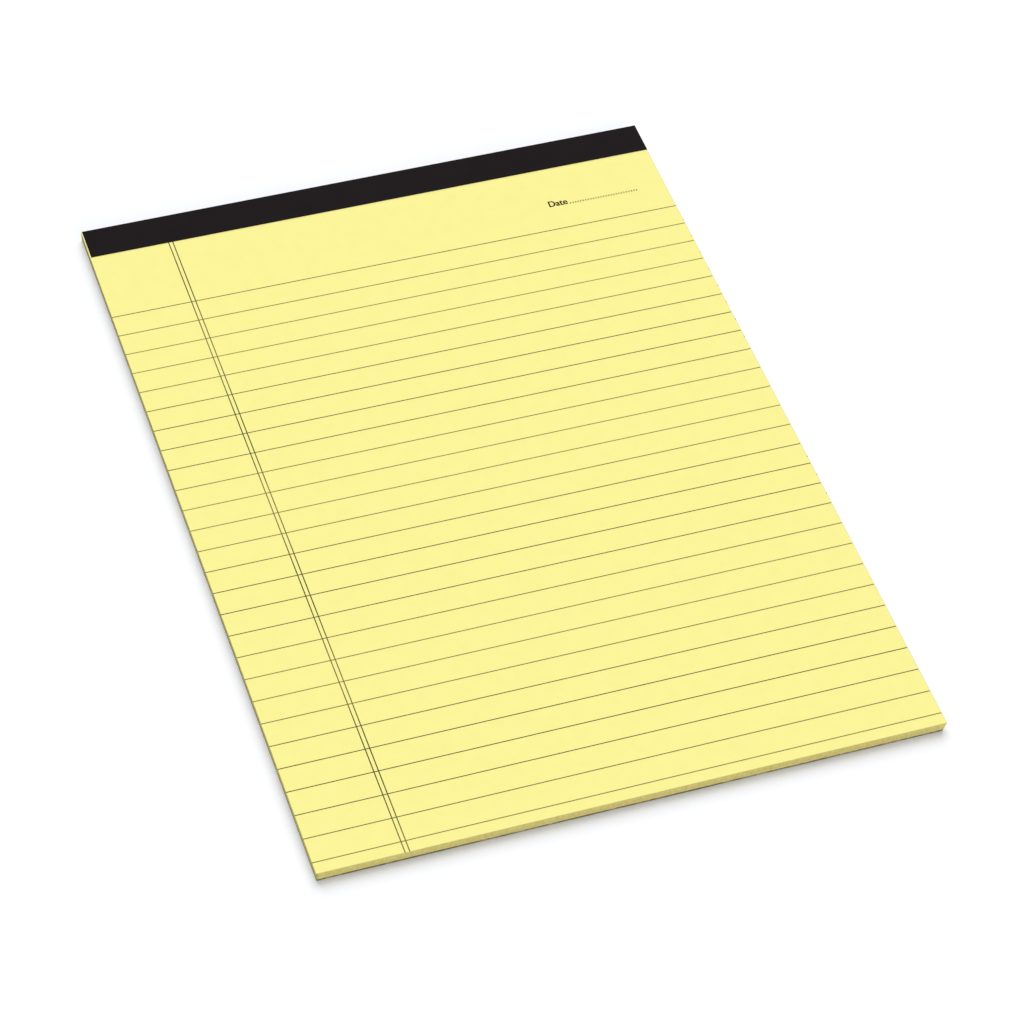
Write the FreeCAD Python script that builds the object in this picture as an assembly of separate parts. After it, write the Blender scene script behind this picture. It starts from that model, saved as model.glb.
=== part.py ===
import FreeCAD, Part
import os

# A ruled writing pad of A4 sheets, bound along the head. Lengths are millimetres.
# +X is to the reader's right, +Y is to the head, and +Z is up. The origin is on the surface that
# the pad lies on, under the middle of its outline.
# From the bottom up there are a chipboard back, the block of sheets and the ink printed on the top
# sheet. Wire stitches clamp the sheets to the back along the head, and a tape that is folded round
# the head covers the stitches on both sides.

# Block of sheets and its back
PAD_WIDTH = 210.0
PAD_LENGTH = 297.0
SHEET_COUNT = 40
SHEET_THICKNESS = 0.075
BOARD_THICKNESS = 0.7

# How far each side runs in from the top sheet to the surface that the pad lies on
LEFT_LEAN = 0.2
RIGHT_LEAN = 1.3

# Binding tape, with its laps measured from the block's head face and its left end from the sheets'
TAPE_THICKNESS = 0.15
TAPE_FRONT_LAP = 13.6
TAPE_BACK_LAP = 20.0
TAPE_SHORTFALL = 0.4

# Flat-wire stitches, with the crown and the clinch measured over the outside of the legs
STITCH_COUNT = 4
STITCH_END_DISTANCE = 27.0
STITCH_CROWN = 12.0
STITCH_CLINCH = 4.5
STITCH_BEND_RADIUS = 0.3
WIRE_THICKNESS = 0.45
WIRE_WIDTH = 0.6
WIRE_SIDE_CLEARANCE = 0.05

# Perforated line below the tape, along which a sheet tears off
PERFORATION_OFFSET = 0.5
PERFORATION_CUT_LENGTH = 1.6
PERFORATION_CUT_WIDTH = 0.05
PERFORATION_TIE = 0.6

# Printed ruling, with the heading measured from the head face and the margin from the left side
HEADING_DEPTH = 45.0
RULE_PITCH = 9.525
RULE_WIDTH = 0.33
MARGIN_DISTANCE = 28.6
MARGIN_LINE_SPACING = 1.5
MARGIN_LINE_WIDTH = 0.38
INK_THICKNESS = 0.02

# Levels and edges that more than one piece shares
BACK_FACE_Z = TAPE_THICKNESS
BOARD_TOP_Z = BACK_FACE_Z + BOARD_THICKNESS
SHEETS_TOP_Z = BOARD_TOP_Z + SHEET_COUNT * SHEET_THICKNESS
LEFT_X = -PAD_WIDTH / 2
RIGHT_X = PAD_WIDTH / 2
HEAD_Y = (PAD_LENGTH - TAPE_THICKNESS) / 2
FOOT_Y = HEAD_Y - PAD_LENGTH
TAPE_EDGE_Y = HEAD_Y - TAPE_FRONT_LAP
STITCH_LINE_Y = HEAD_Y - TAPE_FRONT_LAP / 2


def block(x_range, y_range, z_range):
    """A box between two values on each axis."""
    corner = FreeCAD.Vector(x_range[0], y_range[0], z_range[0])
    size_x = x_range[1] - x_range[0]
    size_y = y_range[1] - y_range[0]
    size_z = z_range[1] - z_range[0]
    return Part.makeBox(size_x, size_y, size_z, corner)


def about(middle, half_length):
    """The two ends of a length that is centred on a place."""
    return (middle - half_length, middle + half_length)


def edges_along(solid, axis):
    """The straight edges of a solid that run along one axis."""
    return [
        edge
        for edge in solid.Edges
        if abs(getattr(edge.tangentAt(edge.FirstParameter), axis)) > 0.5
    ]


def offcut(top_x, low_x):
    """The wedge that the knife takes off one side, where it runs in below the top sheet."""
    top_corner = FreeCAD.Vector(top_x, FOOT_Y, SHEETS_TOP_Z)
    low_corner = FreeCAD.Vector(low_x, FOOT_Y, 0)
    outer_corner = FreeCAD.Vector(top_x, FOOT_Y, 0)
    outline = Part.makePolygon([top_corner, low_corner, outer_corner, top_corner])
    return Part.Face(outline).extrude(FreeCAD.Vector(0, PAD_LENGTH + TAPE_THICKNESS, 0))


def trimmed(solid):
    """The piece after the taped pad is trimmed along both sides, which lean in to the bottom."""
    left_offcut = offcut(LEFT_X, LEFT_X + LEFT_LEAN)
    right_offcut = offcut(RIGHT_X, RIGHT_X - RIGHT_LEAN)
    return solid.cut(left_offcut).cut(right_offcut)


def stitch_places():
    """The middle of each stitch along X, evenly spaced between the two end ones."""
    first = LEFT_X + STITCH_END_DISTANCE
    spacing = (PAD_WIDTH - 2 * STITCH_END_DISTANCE) / (STITCH_COUNT - 1)
    return [first + number * spacing for number in range(STITCH_COUNT)]


def stitch_outside(middle, side):
    """The box round one stitch, from the back to the top sheet, with some clearance at its sides."""
    x_range = about(middle, STITCH_CROWN / 2 + side)
    y_range = about(STITCH_LINE_Y, WIRE_WIDTH / 2 + side)
    return block(x_range, y_range, (BACK_FACE_Z, SHEETS_TOP_Z))


def bent_round(outside, middle, side):
    """The box round a stitch less the paper that its wire clamps and the board between its ends."""
    y_range = about(STITCH_LINE_Y, WIRE_WIDTH / 2 + side)
    clinch_z = BACK_FACE_Z + WIRE_THICKNESS
    crown_z = SHEETS_TOP_Z - WIRE_THICKNESS
    clamped_x = about(middle, STITCH_CROWN / 2 - WIRE_THICKNESS - side)
    clamped = block(clamped_x, y_range, (clinch_z, crown_z))
    clamped = clamped.makeFillet(STITCH_BEND_RADIUS, edges_along(clamped, "y"))
    gap_x = about(middle, STITCH_CROWN / 2 - STITCH_CLINCH - side)
    between_ends = block(gap_x, y_range, (BACK_FACE_Z, clinch_z))
    return outside.cut(clamped).cut(between_ends)


def stitch(middle):
    """One wire stitch: a crown on the sheets, two legs and two ends clinched inwards on the board."""
    outside = stitch_outside(middle, 0)
    outer_radius = STITCH_BEND_RADIUS + WIRE_THICKNESS
    outside = outside.makeFillet(outer_radius, edges_along(outside, "y"))
    return bent_round(outside, middle, 0)


def stitch_seat(middle):
    """What one stitch is pressed into: grooves in both faces, as deep as the wire, and two holes."""
    outside = stitch_outside(middle, WIRE_SIDE_CLEARANCE)
    return bent_round(outside, middle, WIRE_SIDE_CLEARANCE)


def without_seats(solid):
    """The piece with the seats of all the stitches cut out of it."""
    for middle in stitch_places():
        solid = solid.cut(stitch_seat(middle))
    return solid


def perforation():
    """The row of short slits through the sheets, with a whole tie left at each side."""
    pitch = PERFORATION_CUT_LENGTH + PERFORATION_TIE
    shortest_end = max(LEFT_LEAN, RIGHT_LEAN) + PERFORATION_TIE
    slit_count = int((PAD_WIDTH - 2 * shortest_end + PERFORATION_TIE) / pitch)
    row_length = slit_count * pitch - PERFORATION_TIE
    y_range = about(TAPE_EDGE_Y - PERFORATION_OFFSET, PERFORATION_CUT_WIDTH / 2)
    slits = []
    for number in range(slit_count):
        start = -row_length / 2 + number * pitch
        x_range = (start, start + PERFORATION_CUT_LENGTH)
        slits.append(block(x_range, y_range, (BOARD_TOP_Z, SHEETS_TOP_Z)))
    return Part.makeCompound(slits)


def ruled_sheets():
    """The sheets as one block, perforated below the tape and pierced by the stitches."""
    sheets = block((LEFT_X, RIGHT_X), (FOOT_Y, HEAD_Y), (BOARD_TOP_Z, SHEETS_TOP_Z))
    return without_seats(trimmed(sheets)).cut(perforation())


def backing_board():
    """The chipboard back, as wide and long as the sheets, with the stitches clinched into it."""
    board = block((LEFT_X, RIGHT_X), (FOOT_Y, HEAD_Y), (BACK_FACE_Z, BOARD_TOP_Z))
    return without_seats(trimmed(board))


def wire_stitches():
    """All the stitches, which stay separate from each other."""
    return Part.makeCompound([stitch(middle) for middle in stitch_places()])


def binding_tape():
    """The tape: one strip folded over the front, the head face and the back of the block."""
    outer_y = HEAD_Y + TAPE_THICKNESS
    outer_z = SHEETS_TOP_Z + TAPE_THICKNESS
    across = (LEFT_X + TAPE_SHORTFALL, RIGHT_X)
    front_lap = block(across, (TAPE_EDGE_Y, outer_y), (SHEETS_TOP_Z, outer_z))
    spine = block(across, (HEAD_Y, outer_y), (0, outer_z))
    back_lap = block(across, (HEAD_Y - TAPE_BACK_LAP, outer_y), (0, BACK_FACE_Z))
    strip = spine.multiFuse([front_lap, back_lap]).removeSplitter()
    folds = [edge for edge in edges_along(strip, "x") if edge.CenterOfMass.y > HEAD_Y]
    return trimmed(strip.makeFillet(TAPE_THICKNESS, folds))


def printed_ruling():
    """The ink on the top sheet: rules from side to side, and a double line down the left margin."""
    z_range = (SHEETS_TOP_Z, SHEETS_TOP_Z + INK_THICKNESS)
    rule_count = 1 + int((PAD_LENGTH - HEADING_DEPTH - RULE_WIDTH) / RULE_PITCH)
    lines = []
    for number in range(rule_count):
        y_range = about(HEAD_Y - HEADING_DEPTH - number * RULE_PITCH, RULE_WIDTH / 2)
        lines.append(block((LEFT_X, RIGHT_X), y_range, z_range))
    for distance in (MARGIN_DISTANCE, MARGIN_DISTANCE + MARGIN_LINE_SPACING):
        x_range = about(LEFT_X + distance, MARGIN_LINE_WIDTH / 2)
        lines.append(block(x_range, (FOOT_Y, TAPE_EDGE_Y), z_range))
    return lines[0].multiFuse(lines[1:]).removeSplitter()


PIECES = {
    "ruled_sheets": ruled_sheets,
    "backing_board": backing_board,
    "wire_stitches": wire_stitches,
    "binding_tape": binding_tape,
    "printed_ruling": printed_ruling,
}

os.makedirs("parts", exist_ok=True)
for name, make in PIECES.items():
    make().exportStep(f"parts/{name}.step")
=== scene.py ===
import bmesh
import bpy
import math
import random
from mathutils import Matrix, Vector


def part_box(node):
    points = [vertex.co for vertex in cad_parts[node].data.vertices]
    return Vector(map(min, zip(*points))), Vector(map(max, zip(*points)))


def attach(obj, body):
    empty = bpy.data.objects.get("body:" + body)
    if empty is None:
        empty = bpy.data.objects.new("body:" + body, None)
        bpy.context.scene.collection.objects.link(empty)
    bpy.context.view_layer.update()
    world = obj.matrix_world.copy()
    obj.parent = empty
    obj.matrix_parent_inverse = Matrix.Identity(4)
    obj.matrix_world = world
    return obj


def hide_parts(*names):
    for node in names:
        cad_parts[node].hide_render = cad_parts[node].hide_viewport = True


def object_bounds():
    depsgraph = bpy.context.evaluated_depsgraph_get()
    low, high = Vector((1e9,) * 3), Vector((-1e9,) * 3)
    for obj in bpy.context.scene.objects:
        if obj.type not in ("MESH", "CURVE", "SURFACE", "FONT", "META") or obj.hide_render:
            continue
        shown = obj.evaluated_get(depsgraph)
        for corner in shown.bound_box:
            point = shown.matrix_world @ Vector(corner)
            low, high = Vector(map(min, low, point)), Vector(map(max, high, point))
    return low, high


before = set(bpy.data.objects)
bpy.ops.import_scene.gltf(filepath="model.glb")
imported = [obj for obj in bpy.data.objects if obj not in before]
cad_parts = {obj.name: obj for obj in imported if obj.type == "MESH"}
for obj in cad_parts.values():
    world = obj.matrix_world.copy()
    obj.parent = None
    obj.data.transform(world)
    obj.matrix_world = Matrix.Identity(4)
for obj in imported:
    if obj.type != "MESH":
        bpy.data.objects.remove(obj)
cad_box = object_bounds()

# A head-bound writing pad. +X is to the reader's right, +Y is to the taped head, and +Z is up.
# The sections follow the pad from the back up: board, sheets, print, wire stitches and tape, and
# then the floor that it lies on, the light and the camera. Lengths are metres.

# Backing board
# A stiff grey-brown chipboard, pressed from pulped waste paper and trimmed together with the
# sheets. It lies under them, and the tape and the wire stitches hold it along the head.
MM = 0.001
BOARD_DARK = (0.36, 0.30, 0.18, 1)
BOARD_LIGHT = (0.56, 0.48, 0.30, 1)
PULP_PALE = (0.70, 0.62, 0.42, 1)
PULP_DARK = (0.13, 0.10, 0.05, 1)
# Painted shade in the seam under the sheets: its dark colour, patches, depth and fade.
SEAM_SHADE_DARK = (0.085, 0.066, 0.022, 1)
BOARD_CLOUD = 9 * MM
PULP_FLECK = 1.4 * MM
BOARD_FIBRE = 0.5 * MM
BOARD_RELIEF = 0.04 * MM
SEAM_SHADE_PATCH = (2.2 * MM, 2.2 * MM, 0.6 * MM)
SEAM_SHADE_DEPTH = 0.5 * MM
SEAM_SHADE_TOP = 0.3 * MM
SEAM_SHADE_FADE = 0.10
BOARD_CLOUD_SPAN = (0.35, 0.65)
PALE_FLECK_SPAN = (0.60, 0.72)
PALE_FLECK_SHARE = 0.7
DARK_FLECK_SPAN = (0.62, 0.74)
DARK_FLECK_SHARE = 0.8
SEAM_SHADE_SPAN = (0.36, 0.48)
BOARD_SHINE = 0.2
BOARD_ROUGHNESS = 0.82
BOARD_ROUGHNESS_RISE = 0.14


class Tone:
    """A value or a colour that varies over a surface. Arithmetic on tones adds Math nodes."""

    def __init__(self, tree, socket=None):
        self.tree = tree
        self.socket = socket

    def node(self, kind, settings=None, inputs=None, output=0):
        """Any node: its settings are set first, and then its sockets get values or links."""
        made = self.tree.nodes.new("ShaderNode" + kind)
        for name, value in (settings or {}).items():
            setattr(made, name, value)
        for name, value in (inputs or {}).items():
            if isinstance(value, Tone):
                self.tree.links.new(value.socket, made.inputs[name])
            else:
                made.inputs[name].default_value = value
        return Tone(self.tree, made.outputs[output])

    def maths(self, operation, first, second):
        return self.node("Math", {"operation": operation}, {0: first, 1: second})

    def __add__(self, other):
        return self.maths("ADD", self, other)

    def __sub__(self, other):
        return self.maths("SUBTRACT", self, other)

    def __rsub__(self, other):
        return self.maths("SUBTRACT", other, self)

    def __mul__(self, other):
        return self.maths("MULTIPLY", self, other)

    __radd__ = __add__
    __rmul__ = __mul__

    def between(self, low, high):
        """0 up to the low value, 1 from the high one, and a straight slope between them."""
        return self.node("MapRange", None, {"Value": self, "From Min": low, "From Max": high})

    def mixed(self, first, second):
        """The first colour where this tone is 0, and the second where it is 1."""
        # A Mix node takes its colours at inputs 6 and 7 and gives the result at output 2.
        return self.node("Mix", {"data_type": "RGBA"}, {0: self, 6: first, 7: second}, 2)

    def along(self, axis):
        """Where this place lies on one axis, in metres: 0 for X, 1 for Y and 2 for Z."""
        return self.node("SeparateXYZ", None, {"Vector": self}, axis)

    def stretched(self, sizes):
        """A place on the piece, counted in steps that are as long as the three sizes."""
        steps = [1 / size for size in sizes]
        return self.node("Mapping", None, {"Vector": self, "Scale": steps})

    def cloud(self, size, detail=2.0):
        """Soft noise about this place, with blots of about the given size."""
        return self.node("TexNoise", None, {"Vector": self, "Scale": 1 / size, "Detail": detail})

    def relief(self, depth):
        """The normals of a surface that this tone raises by up to the given depth."""
        return self.node("Bump", None, {"Height": self, "Distance": depth})


def finish(name, constants, pattern):
    """A material. The constants are the same all over, and pattern gives what varies."""
    material = bpy.data.materials.new(name)
    material.use_nodes = True
    tree = material.node_tree
    shader = tree.nodes["Principled BSDF"]
    for socket, value in constants.items():
        shader.inputs[socket].default_value = value
    place = Tone(tree).node("TexCoord", output="Object")
    for socket, tone in pattern(place).items():
        tree.links.new(tone.socket, shader.inputs[socket])
    return material


def chipboard(place):
    """Cloudy pulp with paper flecks, and ragged painted shade under the sheets, fainter to the right.
    """
    ground = place.cloud(BOARD_CLOUD, detail=5.0).between(*BOARD_CLOUD_SPAN)
    fleck = place.cloud(PULP_FLECK, detail=3.0)
    fibre = place.cloud(BOARD_FIBRE, detail=2.0)
    pale_fleck = fleck.between(*PALE_FLECK_SPAN) * PALE_FLECK_SHARE
    dark_fleck = (1 - fleck).between(*DARK_FLECK_SPAN) * DARK_FLECK_SHARE
    colour = ground.mixed(BOARD_DARK, BOARD_LIGHT)
    colour = dark_fleck.mixed(pale_fleck.mixed(colour, PULP_PALE), PULP_DARK)
    # Painted shade: the top of the board's edge, in the seam under the sheets, is darkened in ragged
    # patches.
    seam_shade = place.along(2).between(board_high.z - SEAM_SHADE_DEPTH, board_high.z - SEAM_SHADE_TOP)
    to_the_right = place.along(0).between(board_low.x, board_high.x)
    ragged_shade = place.stretched(SEAM_SHADE_PATCH).cloud(1.0, detail=4.0) - SEAM_SHADE_FADE * to_the_right
    return {
        "Base Color": (seam_shade * ragged_shade.between(*SEAM_SHADE_SPAN)).mixed(colour, SEAM_SHADE_DARK),
        "Roughness": BOARD_ROUGHNESS + BOARD_ROUGHNESS_RISE * fibre,
        "Normal": (fibre + fleck).relief(BOARD_RELIEF),
    }


board_low, board_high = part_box("backing_board")
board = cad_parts["backing_board"]
board_constants = {"Specular IOR Level": BOARD_SHINE}
board.material_slots[0].material = finish("chipboard", board_constants, chipboard)

# Sheets
# Forty thin sheets of yellow writing paper, jogged and trimmed as one block, perforated just below
# the tape and pierced for the stitches. They aren't glued, so each edge stands a little in or out.
SHEET_COUNT = 40
SHEET_GAP = 0.004 * MM
MERGE_DISTANCE = 0.001 * MM
LOOSE_SEED = 40
LOOSE_LEFT = 0.12 * MM
LOOSE_RIGHT = 0.05 * MM
LOOSE_FOOT = 0.08 * MM
TOP_SHEET_INSET = 0.35 * MM
PAPER_DEEP = (0.950, 0.885, 0.300, 1)
PAPER_PALE = (0.980, 0.915, 0.325, 1)
EDGE_TAN = (0.88, 0.67, 0.22, 1)
EDGE_OLIVE = (0.80, 0.74, 0.21, 1)
EDGE_PALE = (1.00, 0.92, 0.43, 1)
EDGE_PATCH = 4.5 * MM
EDGE_NICK = (1.1 * MM, 1.1 * MM, 1.8 * MM)
EDGE_SHADE = 40 * MM
# Painted bounce light: how many of the lowest sheets are painted paler, and how much.
LOWEST_SHEETS = 10
PALEST_SHEETS = 3
BOUNCE_LIGHT_SHARE = 0.2
EDGE_PATCH_SPAN = (0.38, 0.62)
EDGE_PALE_SPAN = (0.36, 0.64)
EDGE_PALE_SHARE = 0.8
SHEET_SHADE_SHARE = 0.3
NICK_SHARE = 0.7
EDGE_ROUGHNESS = 0.9
EDGE_ROUGHNESS_RISE = 0.1
# The colour and width of the painted shade down the left side.
LEFT_PAINTED_SHADE = (0.34, 0.32, 0.12, 1)
LEFT_SHADE_WIDTH = 1 * MM
LEFT_SHADE_SHARE = 0.9
# The colour and width of the painted shade along the right edge.
RIGHT_PAINTED_SHADE = (0.76, 0.76, 0.52, 1)
RIGHT_SHADE_WIDTH = 0.5 * MM
PAPER_CLOUD = 5 * MM
PAPER_FIBRE = (0.9 * MM, 0.25 * MM, 0.9 * MM)
PAPER_RELIEF = 0.006 * MM
PAPER_CLOUD_SPAN = (0.3, 0.7)
PAPER_CLOUD_SHARE = 0.6
PAPER_FIBRE_SHARE = 0.4
PAPER_SHINE = 0.15
PAPER_ROUGHNESS = 0.84
PAPER_ROUGHNESS_RISE = 0.10


def cad_copy(node):
    """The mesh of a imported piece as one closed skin, ready to be cut."""
    skin = bmesh.new()
    skin.from_mesh(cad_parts[node].data)
    bmesh.ops.remove_doubles(skin, verts=skin.verts, dist=MERGE_DISTANCE)
    return skin


def cut_off(skin, point, outwards):
    """Cuts away what lies beyond a point and closes the cut face."""
    everything = skin.verts[:] + skin.edges[:] + skin.faces[:]
    cut = bmesh.ops.bisect_plane(
        skin, geom=everything, plane_co=point, plane_no=outwards, clear_outer=True
    )
    rim = [part for part in cut["geom_cut"] if isinstance(part, bmesh.types.BMEdge)]
    bmesh.ops.triangle_fill(skin, edges=rim, normal=outwards)


def new_piece(name, skin, materials):
    """The finished skin as a piece that rides on the pad's one body."""
    bmesh.ops.recalc_face_normals(skin, faces=skin.faces)
    mesh = bpy.data.meshes.new(name)
    skin.to_mesh(mesh)
    skin.free()
    for material in materials:
        mesh.materials.append(material)
    piece = bpy.data.objects.new(name, mesh)
    bpy.context.scene.collection.objects.link(piece)
    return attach(piece, "root")


def paper_face(place):
    """Even, matte and slightly cloudy, with a fine felt of fibres and painted shade along the right
    side.
    """
    cloud = place.cloud(PAPER_CLOUD, detail=4.0).between(*PAPER_CLOUD_SPAN)
    fibre = place.stretched(PAPER_FIBRE).cloud(1.0, detail=3.0)
    # Painted shade: a narrow strip along the right edge is painted greyer and darker.
    wear_and_shade = place.along(0).between(sheets_high.x - RIGHT_SHADE_WIDTH, sheets_high.x)
    pale = PAPER_CLOUD_SHARE * cloud + PAPER_FIBRE_SHARE * fibre
    return {
        "Base Color": wear_and_shade.mixed(pale.mixed(PAPER_DEEP, PAPER_PALE), RIGHT_PAINTED_SHADE),
        "Roughness": PAPER_ROUGHNESS + PAPER_ROUGHNESS_RISE * fibre,
        "Normal": fibre.relief(PAPER_RELIEF),
    }


def paper_edge(place):
    """Tan and olive cut edges, varied by sheet, nicked, and with painted bounce light and painted
    shade.
    """
    patch = place.cloud(EDGE_PATCH, detail=5.0).between(*EDGE_PATCH_SPAN)
    sheet = place.stretched((EDGE_SHADE, EDGE_SHADE, sheet_step)).cloud(1.0, detail=1.0)
    nick = place.stretched(EDGE_NICK).cloud(1.0, detail=2.0)
    colour = patch.mixed(EDGE_TAN, EDGE_OLIVE)
    pale = (SHEET_SHADE_SHARE * sheet + NICK_SHARE * nick).between(*EDGE_PALE_SPAN)
    # Painted light from the floor's bounce: the edges of the lowest sheets are painted paler.
    pale_from = sheets_low.z + LOWEST_SHEETS * sheet_step
    palest_from = sheets_low.z + PALEST_SHEETS * sheet_step
    bounce_light = place.along(2).between(pale_from, palest_from)
    colour = (EDGE_PALE_SHARE * pale + BOUNCE_LIGHT_SHARE * bounce_light).mixed(colour, EDGE_PALE)
    # Painted shade: the left side is painted a deeper olive, as if it lay in shade.
    left_shade = place.along(0).between(sheets_low.x + LEFT_SHADE_WIDTH, sheets_low.x)
    return {
        "Base Color": (LEFT_SHADE_SHARE * left_shade).mixed(colour, LEFT_PAINTED_SHADE),
        "Roughness": EDGE_ROUGHNESS + EDGE_ROUGHNESS_RISE * nick,
    }


sheets_low, sheets_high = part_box("ruled_sheets")
sheet_step = (sheets_high.z - sheets_low.z) / SHEET_COUNT
pad_width = sheets_high.x - sheets_low.x
pad_length = sheets_high.y - sheets_low.y
top_sheet_right = sheets_high.x - TOP_SHEET_INSET
looseness = random.Random(LOOSE_SEED)
block = bmesh.new()
for number in range(SHEET_COUNT):
    sheet = cad_copy("ruled_sheets")
    underside = sheets_low.z + number * sheet_step
    if number > 0:
        cut_off(sheet, (0, 0, underside), (0, 0, -1))
    if number < SHEET_COUNT - 1:
        cut_off(sheet, (0, 0, underside + sheet_step - SHEET_GAP), (0, 0, 1))
    else:
        cut_off(sheet, (top_sheet_right, 0, 0), (1, 0, 0))
    left_in = looseness.uniform(0, LOOSE_LEFT)
    right_in = looseness.uniform(0, LOOSE_RIGHT)
    foot_in = looseness.uniform(0, LOOSE_FOOT)
    for vertex in sheet.verts:
        across = (vertex.co.x - sheets_low.x) / pad_width
        from_head = (sheets_high.y - vertex.co.y) / pad_length
        vertex.co.x += from_head * (left_in * (1 - across) - right_in * across)
        vertex.co.y += from_head * foot_in
    bmesh.ops.recalc_face_normals(sheet, faces=sheet.faces)
    for face in sheet.faces:
        face.material_index = 0 if abs(face.normal.z) > 0.5 else 1
    loose_sheet = bpy.data.meshes.new("loose_sheet")
    sheet.to_mesh(loose_sheet)
    sheet.free()
    block.from_mesh(loose_sheet)
    bpy.data.meshes.remove(loose_sheet)
paper_constants = {"Specular IOR Level": PAPER_SHINE}
sheet_stack = new_piece("sheet_stack", block, [
    finish("yellow_paper", paper_constants, paper_face),
    finish("paper_edge", paper_constants, paper_edge),
])
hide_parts("ruled_sheets")

# Print
# One thin dark grey ink on the yellow sheet: the rules and the double margin line, the word for
# the date in plain letters with a dotted line beside it, and the ends of the next sheet's rules.
INK = (0.040, 0.036, 0.014, 1)
INK_WORN = (0.230, 0.210, 0.065, 1)
INK_PATCH = 1.8 * MM
INK_BAND = 77 * MM
INK_BAND_PEAK = 41.5 * MM
INK_BAND_SHARE = 0.4
INK_PATCH_SPAN = (0.35, 0.7)
INK_PATCH_SHARE = 0.2
INK_SHINE = 0.15
INK_ROUGHNESS = 0.7
INK_ROUGHNESS_RISE = 0.2
LABEL_LEFT = 165.4 * MM
LABEL_RIGHT = 172.4 * MM
LABEL_BASELINE = 33.35 * MM
LABEL_CAPITAL = 2.9 * MM
LABEL_BOLD = 0.012
LABEL_DOUBLING = 0.12 * MM
LETTER_HALF_DEPTH = 0.5
LETTER_MERGE = 0.001
DOT_COUNT = 27
DOT_FIRST = 173.4 * MM
DOT_LAST = 198.8 * MM
DOT_LINE = 33.2 * MM
DOT_WIDTH = 0.38 * MM
DOT_HEIGHT = 0.95 * MM
DOT_SIDES = 12
NEXT_RULE_RUNS = ((52.7 * MM, 8), (175.1 * MM, 3))
NEXT_RULE_PITCH = 8.87 * MM
NEXT_RULE_WIDTH = 0.4 * MM
NEXT_RULE_CLEARANCE = 0.02 * MM


def printed(place):
    """Ink that is thinner in patches and, once each turn of the press roller, over a few rules."""
    patch = place.cloud(INK_PATCH, detail=4.0).between(*INK_PATCH_SPAN)
    turn = (place.along(1) - INK_BAND_PEAK) * (2 * math.pi / INK_BAND)
    cosine = turn.node("Math", {"operation": "COSINE"}, {0: turn})
    wear_and_shade = INK_PATCH_SHARE * patch + INK_BAND_SHARE * (1 - cosine)
    return {
        "Base Color": wear_and_shade.mixed(INK, INK_WORN),
        "Roughness": INK_ROUGHNESS + INK_ROUGHNESS_RISE * wear_and_shade,
    }


ink = finish("ruling_ink", {"Specular IOR Level": INK_SHINE}, printed)
ink_low, ink_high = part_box("printed_ruling")
ink_thickness = ink_high.z - ink_low.z

rules = cad_copy("printed_ruling")
cut_off(rules, (top_sheet_right, 0, 0), (1, 0, 0))
ruling = new_piece("ruling", rules, [ink])
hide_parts("printed_ruling")

words = bpy.data.curves.new("label", "FONT")
words.body = "Date"
words.extrude = LETTER_HALF_DEPTH
words.offset = LABEL_BOLD
lettering = bpy.data.objects.new("label", words)
bpy.context.scene.collection.objects.link(lettering)
shaped = lettering.evaluated_get(bpy.context.evaluated_depsgraph_get())
label_mesh = bpy.data.meshes.new_from_object(shaped)
bpy.data.objects.remove(lettering)
label = bmesh.new()
label.from_mesh(label_mesh)
bmesh.ops.remove_doubles(label, verts=label.verts, dist=LETTER_MERGE)
letters_left = min(vertex.co.x for vertex in label.verts)
letters_right = max(vertex.co.x for vertex in label.verts)
letters_top = max(vertex.co.y for vertex in label.verts)
bmesh.ops.translate(label, verts=label.verts, vec=(-letters_left, 0, LETTER_HALF_DEPTH))
label_scale = Vector((
    (LABEL_RIGHT - LABEL_LEFT) / (letters_right - letters_left),
    LABEL_CAPITAL / letters_top,
    ink_thickness / (2 * LETTER_HALF_DEPTH),
))
bmesh.ops.scale(label, verts=label.verts, vec=label_scale)
label_corner = (sheets_low.x + LABEL_LEFT, sheets_high.y - LABEL_BASELINE, ink_low.z)
bmesh.ops.translate(label, verts=label.verts, vec=label_corner)
# A second copy of the letters, a little to the right, makes their stems bold.
doubled = bmesh.ops.duplicate(label, geom=label.verts[:] + label.edges[:] + label.faces[:])
second_copy = [part for part in doubled["geom"] if isinstance(part, bmesh.types.BMVert)]
bmesh.ops.translate(label, verts=second_copy, vec=(LABEL_DOUBLING, 0, 0))
date_label = new_piece("date_label", label, [ink])

dots = bmesh.new()
for number in range(DOT_COUNT):
    along = DOT_FIRST + (DOT_LAST - DOT_FIRST) * number / (DOT_COUNT - 1)
    centre = Vector((sheets_low.x + along, sheets_high.y - DOT_LINE, ink_low.z + ink_thickness / 2))
    size = Matrix.Diagonal((DOT_WIDTH, DOT_HEIGHT, ink_thickness, 1))
    bmesh.ops.create_cone(
        dots,
        cap_ends=True,
        segments=DOT_SIDES,
        radius1=0.5,
        radius2=0.5,
        depth=1,
        matrix=Matrix.Translation(centre) @ size,
    )
date_line = new_piece("date_line", dots, [ink])

next_sheet_top = sheets_high.z - sheet_step - SHEET_GAP
ends = bmesh.new()
for first, count in NEXT_RULE_RUNS:
    for number in range(count):
        length = TOP_SHEET_INSET - 2 * NEXT_RULE_CLEARANCE - LOOSE_RIGHT
        centre = Vector((
            top_sheet_right + NEXT_RULE_CLEARANCE + length / 2,
            sheets_high.y - first - number * NEXT_RULE_PITCH,
            next_sheet_top + ink_thickness / 2,
        ))
        size = Matrix.Diagonal((length, NEXT_RULE_WIDTH, ink_thickness, 1))
        bmesh.ops.create_cube(ends, size=1, matrix=Matrix.Translation(centre) @ size)
rule_ends = new_piece("next_rule_ends", ends, [ink])

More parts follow.
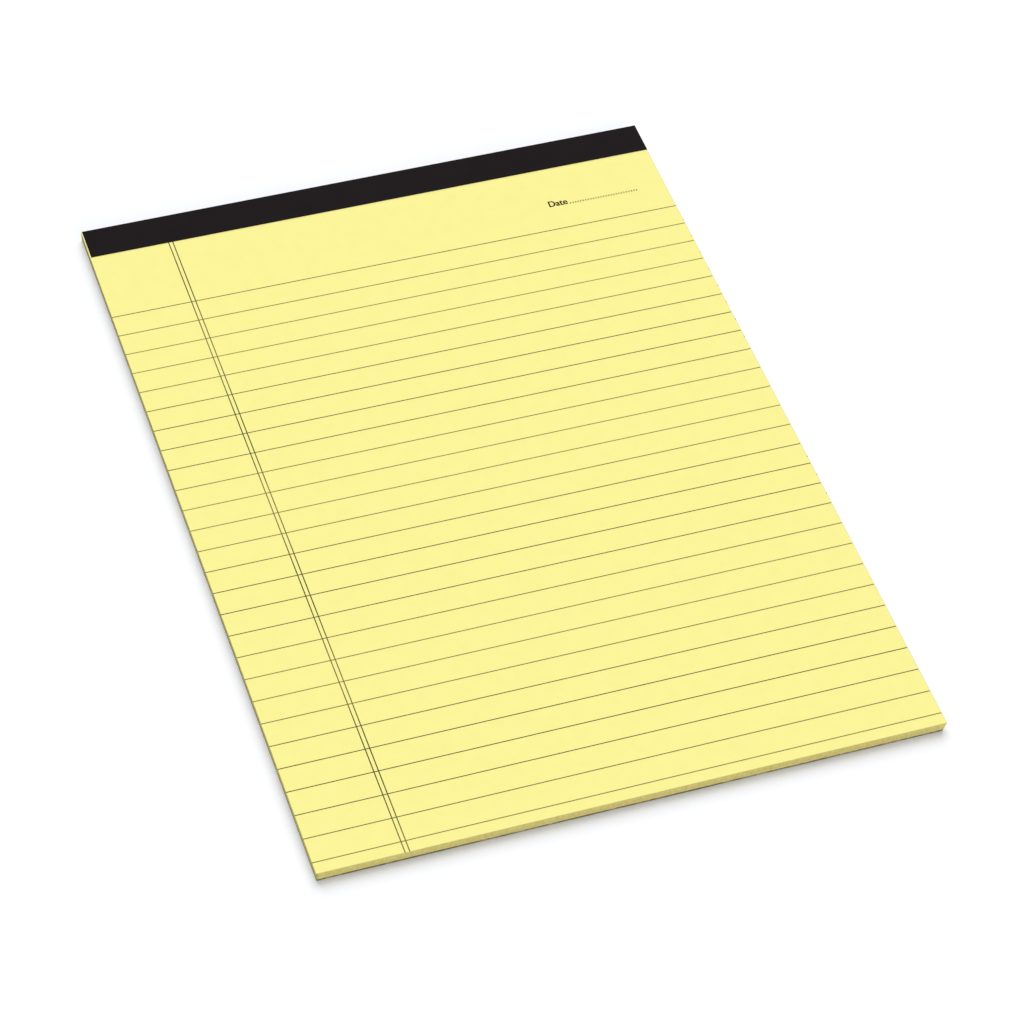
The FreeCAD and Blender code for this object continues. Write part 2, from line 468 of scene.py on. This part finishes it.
# Wire stitches
# Four stitches of flat steel wire, driven through the sheets and clinched on the board. The tape
# hides them. Their wire is bright steel with fine, dull scratches.
WIRE_DULL = (0.42, 0.42, 0.41, 1)
WIRE_BRIGHT = (0.66, 0.66, 0.65, 1)
WIRE_SCRATCH = (3 * MM, 0.08 * MM, 0.08 * MM)
WIRE_RELIEF = 0.004 * MM
WIRE_SCRATCH_SPAN = (0.3, 0.7)
WIRE_ROUGHNESS = 0.28
WIRE_ROUGHNESS_RISE = 0.25


def drawn_wire(place):
    """Fine scratches along the wire from the die that it was drawn through."""
    scratch = place.stretched(WIRE_SCRATCH).cloud(1.0, detail=3.0)
    return {
        "Base Color": scratch.between(*WIRE_SCRATCH_SPAN).mixed(WIRE_DULL, WIRE_BRIGHT),
        "Roughness": WIRE_ROUGHNESS + WIRE_ROUGHNESS_RISE * scratch,
        "Normal": scratch.relief(WIRE_RELIEF),
    }


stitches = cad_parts["wire_stitches"]
stitches.material_slots[0].material = finish("stitching_wire", {"Metallic": 1.0}, drawn_wire)

# Binding tape
# One strip of black crepe paper tape, glued on and folded tight round the head over the front, the
# head face and the back. It covers the stitches, and stops just short of the sheets' left side.
TAPE_BLACK = (0.0086, 0.0062, 0.0068, 1)
TAPE_RUBBED = (0.0128, 0.0098, 0.0104, 1)
TAPE_CREPE = (0.35 * MM, 1.6 * MM, 1.6 * MM)
TAPE_CLOUD = 12 * MM
TAPE_RELIEF = 0.03 * MM
TAPE_CRINKLE_SHARE = 0.6
TAPE_CLOUD_SHARE = 0.4
TAPE_RUBBED_SPAN = (0.3, 0.75)
TAPE_SHINE = 0.05
TAPE_ROUGHNESS = 0.75
TAPE_ROUGHNESS_RISE = 0.2


def crepe(place):
    """Fine crinkles across the strip, with the black a little rubbed on their tops."""
    crinkle = place.stretched(TAPE_CREPE).cloud(1.0, detail=3.0)
    cloud = place.cloud(TAPE_CLOUD, detail=3.0)
    rubbed = TAPE_CRINKLE_SHARE * crinkle + TAPE_CLOUD_SHARE * cloud
    return {
        "Base Color": rubbed.between(*TAPE_RUBBED_SPAN).mixed(TAPE_BLACK, TAPE_RUBBED),
        "Roughness": TAPE_ROUGHNESS + TAPE_ROUGHNESS_RISE * crinkle,
        "Normal": crinkle.relief(TAPE_RELIEF),
    }


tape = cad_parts["binding_tape"]
tape.material_slots[0].material = finish("black_tape", {"Specular IOR Level": TAPE_SHINE}, crepe)

# Floor
# A plain pale floor that reaches past every view. It keeps the pad's soft shadow, and the camera
# sees it topped up to white where no shadow falls.
FLOOR_SIZE = 12.0
FLOOR_DROP = 0.01 * MM
FLOOR_COLOUR = (0.818, 0.83, 0.872, 1)
FLOOR_TOP_UP = 0.198


def seen_rays(tree):
    """1 for the rays that show the floor or the sky themselves, as seen, in gloss or through glass."""
    path = Tone(tree)
    camera = path.node("LightPath", output="Is Camera Ray")
    gloss = path.node("LightPath", output="Is Glossy Ray")
    through = path.node("LightPath", output="Is Transmission Ray")
    return (camera + gloss + through).between(0, 1)


def pale_floor():
    """Matte near-white, with an even glow added for the rays that show it."""
    material = bpy.data.materials.new("pale_floor")
    material.use_nodes = True
    tree = material.node_tree
    output = tree.nodes["Material Output"]
    tree.nodes.remove(tree.nodes["Principled BSDF"])
    blank = Tone(tree)
    matte = blank.node("BsdfDiffuse", None, {"Color": FLOOR_COLOUR})
    glow = blank.node("Emission", None, {"Strength": FLOOR_TOP_UP})
    topped_up = blank.node("AddShader", None, {0: matte, 1: glow})
    shown = blank.node("MixShader", None, {0: seen_rays(tree), 1: matte, 2: topped_up})
    tree.links.new(shown.socket, output.inputs["Surface"])
    return material


ground = bmesh.new()
floor_place = Matrix.Translation((0, 0, cad_box[0].z - FLOOR_DROP))
bmesh.ops.create_grid(ground, x_segments=1, y_segments=1, size=FLOOR_SIZE / 2, matrix=floor_place)
floor_mesh = bpy.data.meshes.new("floor")
ground.to_mesh(floor_mesh)
ground.free()
floor_mesh.materials.append(pale_floor())
floor = bpy.data.objects.new("floor", floor_mesh)
bpy.context.scene.collection.objects.link(floor)

# Light
# An even pale sky, a broad soft key lamp behind the pad and a little to its right, and a weak one
# in front. Together they give the top sheet about the brightness that its colour is written with.
SKY_STRENGTH = 0.40
KEY_STRENGTH = 2.70
KEY_AZIMUTH = math.radians(168)
KEY_ELEVATION = math.radians(47)
KEY_SPREAD = math.radians(62)
FILL_STRENGTH = 0.60
FILL_AZIMUTH = math.radians(10)
FILL_ELEVATION = math.radians(18)
FILL_SPREAD = math.radians(30)


def sun(name, strength, azimuth, elevation, spread):
    """A far, soft lamp. Azimuth 0 shines from the foot's side, and 90 degrees from the right."""
    lamp = bpy.data.lights.new(name, "SUN")
    lamp.energy = strength
    lamp.angle = spread
    holder = bpy.data.objects.new(name, lamp)
    holder.rotation_euler = (math.pi / 2 - elevation, 0, azimuth)
    bpy.context.scene.collection.objects.link(holder)


sun("key", KEY_STRENGTH, KEY_AZIMUTH, KEY_ELEVATION, KEY_SPREAD)
sun("fill", FILL_STRENGTH, FILL_AZIMUTH, FILL_ELEVATION, FILL_SPREAD)
sky = bpy.data.worlds.new("sky")
sky.use_nodes = True
sky_tree = sky.node_tree
sky_nodes = Tone(sky_tree)
sky_light = sky_nodes.node("Background", None, {"Strength": SKY_STRENGTH})
sky_seen = sky_nodes.node("Background", None, {"Color": (1, 1, 1, 1), "Strength": 1.0})
sky_mixed = sky_nodes.node("MixShader", None, {0: seen_rays(sky_tree), 1: sky_light, 2: sky_seen})
sky_tree.links.new(sky_mixed.socket, sky_tree.nodes["World Output"].inputs["Surface"])
bpy.context.scene.world = sky
bpy.context.scene.view_settings.view_transform = "Standard"

# Camera
# A long lens from the reader's left, looking down on the pad with the camera slightly rolled.
CAMERA_LENS = 129.944
CAMERA_SENSOR = 36.0
CAMERA_AZIMUTH = math.radians(-20.955)
CAMERA_ELEVATION = math.radians(47.43)
CAMERA_ROLL = math.radians(3.461)
CAMERA_DISTANCE = 1234.55 * MM
CAMERA_TARGET = Vector((0, -23.085, 4.0)) * MM

view = bpy.data.cameras.new("camera")
view.lens = CAMERA_LENS
view.sensor_width = CAMERA_SENSOR
camera = bpy.data.objects.new("camera", view)
view_turn = (
    Matrix.Rotation(CAMERA_AZIMUTH, 4, "Z")
    @ Matrix.Rotation(math.pi / 2 - CAMERA_ELEVATION, 4, "X")
    @ Matrix.Rotation(CAMERA_ROLL, 4, "Z")
)
pull_back = Matrix.Translation((0, 0, CAMERA_DISTANCE))
camera.matrix_world = Matrix.Translation(CAMERA_TARGET) @ view_turn @ pull_back
bpy.context.scene.collection.objects.link(camera)
bpy.context.scene.camera = camera
